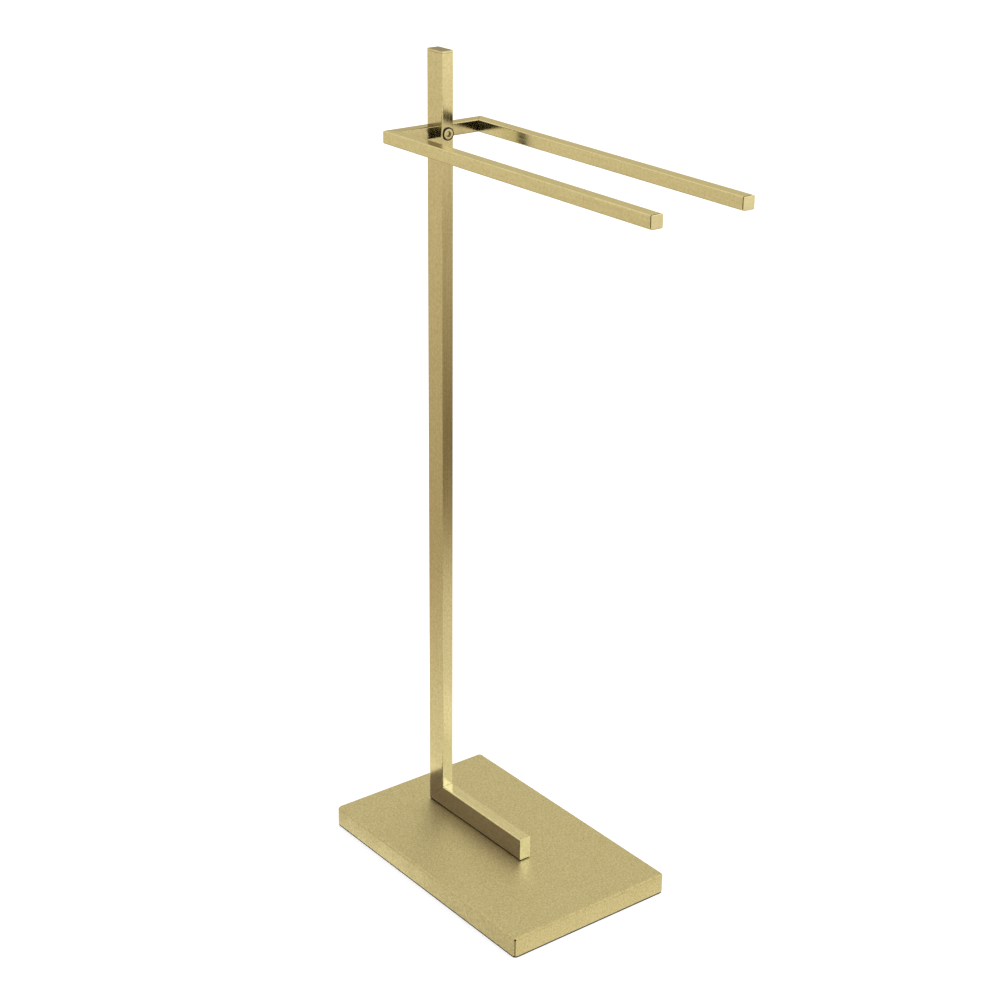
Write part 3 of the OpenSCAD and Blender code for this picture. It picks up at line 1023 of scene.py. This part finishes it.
@dataclass
class Studio:
    """White sweep, soft light and the camera of the photograph.

    The metal shows what stands round the photographer's table: a floor that is white at hand and dim further
    out, and a dark side behind the camera. Only mirrored rays meet those tones, and the camera sees a white
    sweep. What a second mirror throws back has colours of its own, named second here.
    """

    camera_place: tuple[float, float, float] = (1.5286, -1.1937, 1.2294)
    heading: float = math.radians(52.006)
    dip: float = math.radians(22.646)
    roll: float = math.radians(0.593)
    lens: float = 75.055
    floor_size: float = 14.0
    floor_white: str = "#E6E6E6"
    # Light that the camera sees on the floor besides its own, so that the sweep is white
    floor_lift: float = 0.45
    # Ways in which faces to the front and faces to the left mirror the camera's rays, seen from above
    front_way: tuple[float, float, float] = (0.8, 0.6, 0.0)
    side_way: tuple[float, float, float] = (-0.6, -0.8, 0.0)
    front_tones: Tones = (
        (0.3, 1.2), (0.34, 0.97), (0.45, 0.97), (0.6, 0.88), (0.78, 0.53), (0.95, 0.3), (1.25, 0.24),
        (1.45, 0.32), (2.0, 0.5), (2.5, 0.56), (3.1, 0.72), (3.7, 1.04), (4.4, 1.24), (6.5, 1.34))
    side_tones: Tones = (
        (0.1, 1.37), (0.16, 1.0), (0.3, 0.92), (0.5, 0.74), (0.75, 0.56), (1.2, 0.61), (2.0, 0.71),
        (3.0, 0.8), (4.0, 0.87), (6.5, 0.9))
    side_share: Step = (0.2, 0.55)
    # Red, green and blue that a dark tone has more than grey
    warmth: tuple[float, float, float] = (0.2, -0.05, -0.35)
    # Factors of the dome, by how far a ray leads to the front and by how steeply it rises
    front_steps: tuple[Step, ...] = ((0.1, 0.7, 0.84, 1.15), (-0.8, -0.6, 1.15, 1.0))
    rise_steps: tuple[Step, ...] = ((0.5, 0.8, 1.0, 1.2), (0.15, 0.35, 0.83, 1.0))
    floor_second: Colour = (1.2, 1.4, 2.4, 1.0)
    # The dome low down and high up
    front_second: tuple[Colour, Colour] = ((1.3, 1.45, 2.4, 1.0), (2.2, 2.75, 5.6, 1.0))
    side_second: tuple[Colour, Colour] = ((0.48, 0.48, 0.7, 1.0), (0.52, 0.5, 1.15, 1.0))
    overhead_second: float = 0.04
    high_share: Step = (0.21, 0.43)
    overhead_share: Step = (0.6, 0.75)
    front_share: Step = (-0.2, 0.4)
    # Black cloth before the rail's joint: sides, to the right of the line to the camera, depth and distance
    flag_left: float = -0.1
    flag_right: float = 0.3
    flag_depth: float = 0.25
    flag_distance: float = 0.4
    box_place: tuple[float, float, float] = (2.1, 1.6, 1.95)
    box_aim: tuple[float, float, float] = (0.0, 0.0, 0.4)
    box_size: tuple[float, float] = (1.5, 1.2)
    # Radiance of the box's face, where one is white
    box_glow: float = 1.8

    def camera(self) -> None:
        """Sets up the camera at the photograph's place."""
        data = bpy.data.cameras.new("photo_camera")
        data.lens = self.lens
        data.sensor_width = 36.0
        data.clip_end = 50.0
        camera = bpy.data.objects.new("photo_camera", data)
        bpy.context.scene.collection.objects.link(camera)
        ahead = Vector((-math.sin(self.heading) * math.cos(self.dip),
                        math.cos(self.heading) * math.cos(self.dip), -math.sin(self.dip)))
        level = ahead.cross(Axis.Z.unit()).normalized()
        above = level.cross(ahead)
        right = level * math.cos(self.roll) + above * math.sin(self.roll)
        up = above * math.cos(self.roll) - level * math.sin(self.roll)
        turn = Matrix((right, up, -ahead)).transposed().to_4x4()
        camera.matrix_world = Matrix.Translation(Vector(self.camera_place)) @ turn
        bpy.context.scene.camera = camera

    def world(self) -> None:
        """Lights the scene with a pale dome, brighter to the front, and shows white to the camera."""
        world = bpy.data.worlds.new("studio_dome")
        world.use_nodes = True
        tree = world.node_tree
        tree.nodes.clear()
        way = add_node(tree, "ShaderNodeTexCoord").outputs["Generated"]
        rise = add_node(tree, "ShaderNodeSeparateXYZ", links={0: way}).outputs["Z"]
        front = add_node(tree, "ShaderNodeVectorMath", {1: self.front_way}, {0: way}, operation="DOT_PRODUCT")
        forward = front.outputs["Value"]
        once = times(*(smooth_step(forward, *step) for step in self.front_steps),
                     *(smooth_step(rise, *step) for step in self.rise_steps))
        high = smooth_step(rise, *self.high_share)
        side = mix(smooth_step(rise, *self.overhead_share), mix(high, *self.side_second),
                   self.tone_colour(self.overhead_second))
        twice = mix(smooth_step(forward, *self.front_share), side, mix(high, *self.front_second))
        tone = mix(self.mirrored_twice(tree, first=2), once, twice)
        seen = add_node(tree, "ShaderNodeLightPath").outputs["Is Camera Ray"]
        colour = mix(seen, tone, (1.0, 1.0, 1.0, 1.0))
        back = add_node(tree, "ShaderNodeBackground", {"Strength": 1.0}, {"Color": colour})
        add_node(tree, "ShaderNodeOutputWorld", links={"Surface": back.outputs[0]})
        # Only rays that leave a surface may ask the dome how often they were mirrored
        world.cycles.sampling_method = "NONE"
        bpy.context.scene.world = world

    def mirrored_twice(self, tree: NodeTree, first: int = 1) -> NodeSocket:
        """Tells rays that two pieces of metal mirrored from any others.

        Args:
            tree: Node tree of the floor, the flag or the dome.
            first: Ray depth there after one mirror: one on a surface, and two on the dome.

        Returns:
            Socket with one for such a ray, and zero otherwise.
        """
        paths = add_node(tree, "ShaderNodeLightPath").outputs
        deep = add_node(tree, "ShaderNodeMath", {1: first + 0.5}, {0: paths["Ray Depth"]},
                        operation="GREATER_THAN")
        return times(deep.outputs["Value"], paths["Is Glossy Ray"])

    def tone_colour(self, tone: float) -> Colour:
        """Gives a tone its colour: the darker, the warmer."""
        dim = 1 - min(tone, 1.0)
        return (*(tone * (1 + share * dim) for share in self.warmth), 1.0)

    def along(self, reach: NodeSocket, tones: Tones) -> NodeSocket:
        """Spreads tones over a distance.

        Args:
            reach: Distance on the floor.
            tones: Distances and their brightness.

        Returns:
            Socket with the colour.
        """
        tree, length = reach.id_data, tones[-1][0]
        share = add_node(tree, "ShaderNodeMath", {1: 1 / length}, {0: reach}, operation="MULTIPLY")
        ramp = add_node(tree, "ShaderNodeValToRGB", links={0: share.outputs["Value"]})
        stops = ramp.color_ramp.elements
        stops.remove(stops[1])
        for i, (far, tone) in enumerate(tones):
            stop = stops[0] if i == 0 else stops.new(far / length)
            stop.position = far / length
            stop.color = self.tone_colour(tone)
        return ramp.outputs["Color"]

    def mirrored_floor(self, tree: NodeTree) -> NodeSocket:
        """Gives the colour of the floor that the metal mirrors."""
        point = add_node(tree, "ShaderNodeTexCoord").outputs["Object"]
        low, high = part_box("base_cover")
        corner = (high.x, low.y, 0)
        offset = add_node(tree, "ShaderNodeVectorMath", {1: corner}, {0: point}, operation="SUBTRACT")
        way = add_node(tree, "ShaderNodeVectorMath", links={0: offset.outputs[0]}, operation="NORMALIZE")
        aside = add_node(tree, "ShaderNodeVectorMath", {1: self.side_way}, {0: way.outputs[0]},
                         operation="DOT_PRODUCT")
        column = Vector((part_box("column_tube")[1].x, 0, 0))
        reach = add_node(tree, "ShaderNodeVectorMath", {1: column}, {0: point}, operation="DISTANCE")
        far = reach.outputs["Value"]
        once = mix(smooth_step(aside.outputs["Value"], *self.side_share), self.along(far, self.front_tones),
                   self.along(far, self.side_tones))
        return mix(self.mirrored_twice(tree), once, self.floor_second)

    def floor(self) -> None:
        """Lays the white floor, which keeps the stand's shadow."""
        bm = bmesh.new()
        bmesh.ops.create_grid(bm, x_segments=1, y_segments=1, size=self.floor_size / 2)
        material, tree = new_tree("white_vinyl_floor")
        paths = add_node(tree, "ShaderNodeLightPath").outputs
        matt = add_node(tree, "ShaderNodeBsdfDiffuse", {"Color": linear(self.floor_white)}).outputs[0]
        lift = add_node(tree, "ShaderNodeEmission", {"Strength": self.floor_lift}).outputs[0]
        lit = add_node(tree, "ShaderNodeAddShader", links={0: matt, 1: lift}).outputs[0]
        glow = add_node(tree, "ShaderNodeEmission", links={"Color": self.mirrored_floor(tree)}).outputs[0]
        bright = add_node(tree, "ShaderNodeMath", operation="MAXIMUM",
                          links={0: paths["Is Glossy Ray"], 1: paths["Is Transmission Ray"]}).outputs[0]
        by_camera = add_node(tree, "ShaderNodeMixShader", links={0: paths["Is Camera Ray"], 1: matt, 2: lit})
        surface = add_node(tree, "ShaderNodeMixShader", links={0: bright, 1: by_camera.outputs[0], 2: glow})
        add_node(tree, "ShaderNodeOutputMaterial", links={"Surface": surface.outputs[0]})
        floor = new_object("floor", bm, (material,))

    def stand_flag(self) -> None:
        """Stands the black cloth up, which only twice mirrored rays meet."""
        away = Vector((math.sin(self.heading), -math.cos(self.heading), 0))
        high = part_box("rail_cross_bar")[1]
        place = Vector((high.x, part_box("column_tube")[0].y, high.z)) + away * self.flag_distance
        bm = bmesh.new()
        bm.faces.new([bm.verts.new((x, 0, z)) for x, z in (
            (self.flag_left, -self.flag_depth), (self.flag_right, -self.flag_depth), (self.flag_right, 0),
            (self.flag_left, 0))])
        material, tree = new_tree("joint_flag_cloth")
        clear = add_node(tree, "ShaderNodeBsdfTransparent").outputs[0]
        cloth = add_node(tree, "ShaderNodeEmission", {"Color": self.tone_colour(0.0)}).outputs[0]
        twice = self.mirrored_twice(tree)
        surface = add_node(tree, "ShaderNodeMixShader", links={0: twice, 1: clear, 2: cloth})
        add_node(tree, "ShaderNodeOutputMaterial", links={"Surface": surface.outputs[0]})
        stood = new_object("joint_flag", bm, (material,))
        stood.matrix_world = Matrix.Translation(place) @ Matrix.Rotation(self.heading, 4, "Z")
        stood.visible_camera = False
        stood.visible_diffuse = False
        stood.visible_shadow = False
        stood.visible_transmission = False

    def softbox(self) -> None:
        """Puts up the soft light."""
        data = bpy.data.lights.new("front_right_box", "AREA")
        data.shape = "RECTANGLE"
        data.size, data.size_y = self.box_size
        data.energy = self.box_glow * math.pi * data.size * data.size_y
        light = bpy.data.objects.new("front_right_box", data)
        light.location = self.box_place
        aim = Vector(self.box_aim) - Vector(self.box_place)
        light.rotation_euler = aim.to_track_quat("-Z", "Y").to_euler()
        light.visible_camera = False
        light.visible_glossy = False
        bpy.context.scene.collection.objects.link(light)

    def build(self) -> None:
        """Sets up camera, dome, floor, flag and light."""
        self.camera()
        self.world()
        self.floor()
        self.stand_flag()
        self.softbox()
        bpy.context.scene.view_settings.view_transform = "Standard"


def main() -> None:
    """Builds the stand and the studio around the frame."""
    logging.basicConfig(level=logging.INFO, format="%(name)s %(message)s")
    steel = ZincSteel("zinc_plated_steel").material()
    rubber = BlackRubber("nitrile_rubber_sheet").material()
    nylon = BlackNylon("black_nylon").material()
    primer_and_cut_shade = BlackPrimer("black_primer_and_cut_shade").material()
    socket_shade = SocketShadeFinish("socket_painted_shade").material()
    sheet = GrainedBrass("grained_brass_sheet").material()
    column = BrushedBrass("brushed_brass_column", Axis.Z).material()
    # The foot and arms take the column's brass a little lighter and the cross bar a little darker: painted
    # light and shade
    foot = BrushedBrass("brushed_brass_foot", Axis.X, "#CABA81", "#E6D8A0").material()
    arm = BrushedBrass("brushed_brass_arm", Axis.X, "#CCBC83", "#E8DAA2").material()
    bar = BrushedBrass("brushed_brass_bar", Axis.Y, "#BDAC75", "#D6C794").material()
    # Painted highlight: the arm caps' end faces take a far lighter brass than the tubes
    painted_highlight_cap = BrushedBrass("brushed_brass_cap_painted_highlight", Axis.Y, "#E2D297", "#F4E8B4").material()
    # Painted shade: the top cap's top face takes a far darker brass than the column
    painted_shade_cap = BrushedBrass("brushed_brass_cap_painted_shade", Axis.X, "#706137", "#958454").material()
    screw_low, screw_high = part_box("rail_screw")
    turned = TurnedBrass("turned_brass", Axis.X, (screw_low + screw_high) / 2).material()
    Base().build(sheet, primer_and_cut_shade, steel, rubber)
    Column().build(column, foot, painted_shade_cap, nylon, steel, rubber)
    Rail().build(arm, bar, painted_highlight_cap, nylon, turned, socket_shade, steel)
    Studio().build()


if __name__ == "__main__":
    main()
